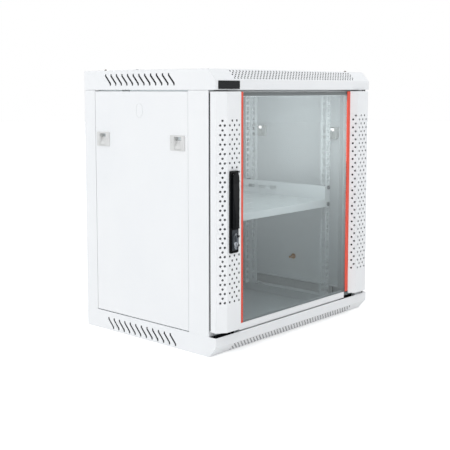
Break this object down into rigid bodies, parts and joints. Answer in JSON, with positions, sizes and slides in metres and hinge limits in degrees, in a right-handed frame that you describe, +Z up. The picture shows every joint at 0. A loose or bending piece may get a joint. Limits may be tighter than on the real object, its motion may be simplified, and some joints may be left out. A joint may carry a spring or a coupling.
{
  "type": "network server rack cabinet",
  "caption": "Wall-mounted 19-inch network cabinet: steel case with vented roof and base, removable side covers, framed glass door with swing handle, rack rails and a fixed shelf.",
  "frame": {"origin": "on the floor plane, under the middle of the whole object's box", "axes": "+X to the right seen from the front, +Y to the rear (the wall side), +Z up; the door faces -Y"},
  "size_m": [0.604, 0.462, 0.6382],
  "materials": {
    "cabinet_paint": "light grey fine powder coat",
    "zinc_steel": "zinc plated",
    "plate_black": "satin black",
    "plug_brown": "matte brown",
    "latch_plastic": "moulded, warm white",
    "earth_brass": "plain brass",
    "door_glass": "clear tempered glass",
    "strip_red": "orange-red trim",
    "packer_foam": "black rubber",
    "handle_black": "gloss black",
    "lock_chrome": "dull chrome"
  },
  "bodies": {
    "cabinet": {"roof_cover": "cabinet_paint", "roof_front_grille": "cabinet_paint", "base_cover": "cabinet_paint", "base_front_grille": "cabinet_paint", "front_post_left": "cabinet_paint", "front_post_right": "cabinet_paint", "rear_post_left": "cabinet_paint", "rear_post_right": "cabinet_paint", "front_top_rail": "cabinet_paint", "front_bottom_rail": "cabinet_paint", "rear_panel": "cabinet_paint", "depth_rail_bottom_left": "cabinet_paint", "depth_rail_bottom_right": "cabinet_paint", "depth_rail_top_left": "cabinet_paint", "depth_rail_top_right": "cabinet_paint", "rack_rail_front_left": "cabinet_paint", "rack_rail_front_right": "cabinet_paint", "rack_rail_rear_left": "cabinet_paint", "rack_rail_rear_right": "cabinet_paint", "shelf": "cabinet_paint", "roof_cable_cover": "cabinet_paint", "base_cable_cover": "cabinet_paint", "hinge_bracket_bottom": "cabinet_paint", "hinge_bracket_top": "cabinet_paint", "shelf_screws": "zinc_steel", "frame_screws": "zinc_steel", "cage_nuts": "zinc_steel", "name_plate": "plate_black", "roof_hole_plugs": "plug_brown", "mats_and_seals": "packer_foam"},
    "side_cover_right": {"side_panel_right": "cabinet_paint", "latch_housings_right": "latch_plastic", "earth_stud": "earth_brass"},
    "side_cover_left": {"side_panel_left": "cabinet_paint", "latch_housings_left": "latch_plastic"},
    "door": {"door_pillar_left": "cabinet_paint", "door_pillar_right": "cabinet_paint", "door_back_left": "cabinet_paint", "door_back_right": "cabinet_paint", "door_glass": "door_glass", "glass_edge_strip_left": "strip_red", "glass_edge_strip_right": "strip_red", "glass_packers": "packer_foam", "door_top_rail": "cabinet_paint", "door_bottom_rail": "cabinet_paint", "hinge_pins": "zinc_steel", "hinge_bushes": "packer_foam", "door_screws": "zinc_steel", "handle_base": "handle_black", "lock_plate": "lock_chrome"},
    "spindle": {"handle_spindle": "handle_black", "lock_cam": "zinc_steel", "cam_nut": "zinc_steel"},
    "lever": {"handle_lever": "handle_black", "lever_pin": "zinc_steel"},
    "lock": {"lock_core": "lock_chrome"},
    "slider_front_right": {"latch_slider_front_right": "latch_plastic"},
    "slider_rear_right": {"latch_slider_rear_right": "latch_plastic"},
    "slider_front_left": {"latch_slider_front_left": "latch_plastic"},
    "slider_rear_left": {"latch_slider_rear_left": "latch_plastic"}
  },
  "joints": [
    {"name": "door_hinge", "type": "hinge", "parent": "cabinet", "child": "door", "pos_m": [0.291, -0.195, 0.3175], "axis": [0, 0, 1], "range_deg": [0, 105]},
    {"name": "handle_turn", "type": "hinge", "parent": "door", "child": "spindle", "pos_m": [-0.2578, -0.219, 0.3985], "axis": [0, 1, 0], "range_deg": [0, 90]},
    {"name": "lever_lift", "type": "hinge", "parent": "spindle", "child": "lever", "pos_m": [-0.2578, -0.2262, 0.4065], "axis": [-1, 0, 0], "range_deg": [0, 35]},
    {"name": "key_turn", "type": "hinge", "parent": "door", "child": "lock", "pos_m": [-0.2578, -0.219, 0.252], "axis": [0, 1, 0], "range_deg": [0, 90]},
    {"name": "side_cover_right_tilt", "type": "hinge", "parent": "cabinet", "child": "side_cover_right", "pos_m": [0.2996, 0.04, 0.048], "axis": [0, 1, 0], "range_deg": [0, 25]},
    {"name": "side_cover_left_tilt", "type": "hinge", "parent": "cabinet", "child": "side_cover_left", "pos_m": [-0.2996, 0.04, 0.048], "axis": [0, -1, 0], "range_deg": [0, 25]},
    {"name": "latch_front_right", "type": "slide", "parent": "side_cover_right", "child": "slider_front_right", "axis": [0, 0, 1], "range_m": [0, 0.006], "stiffness_N_per_m": 120},
    {"name": "latch_rear_right", "type": "slide", "parent": "side_cover_right", "child": "slider_rear_right", "axis": [0, 0, 1], "range_m": [0, 0.006], "stiffness_N_per_m": 120},
    {"name": "latch_front_left", "type": "slide", "parent": "side_cover_left", "child": "slider_front_left", "axis": [0, 0, 1], "range_m": [0, 0.006], "stiffness_N_per_m": 120},
    {"name": "latch_rear_left", "type": "slide", "parent": "side_cover_left", "child": "slider_rear_left", "axis": [0, 0, 1], "range_m": [0, 0.006], "stiffness_N_per_m": 120}
  ]
}
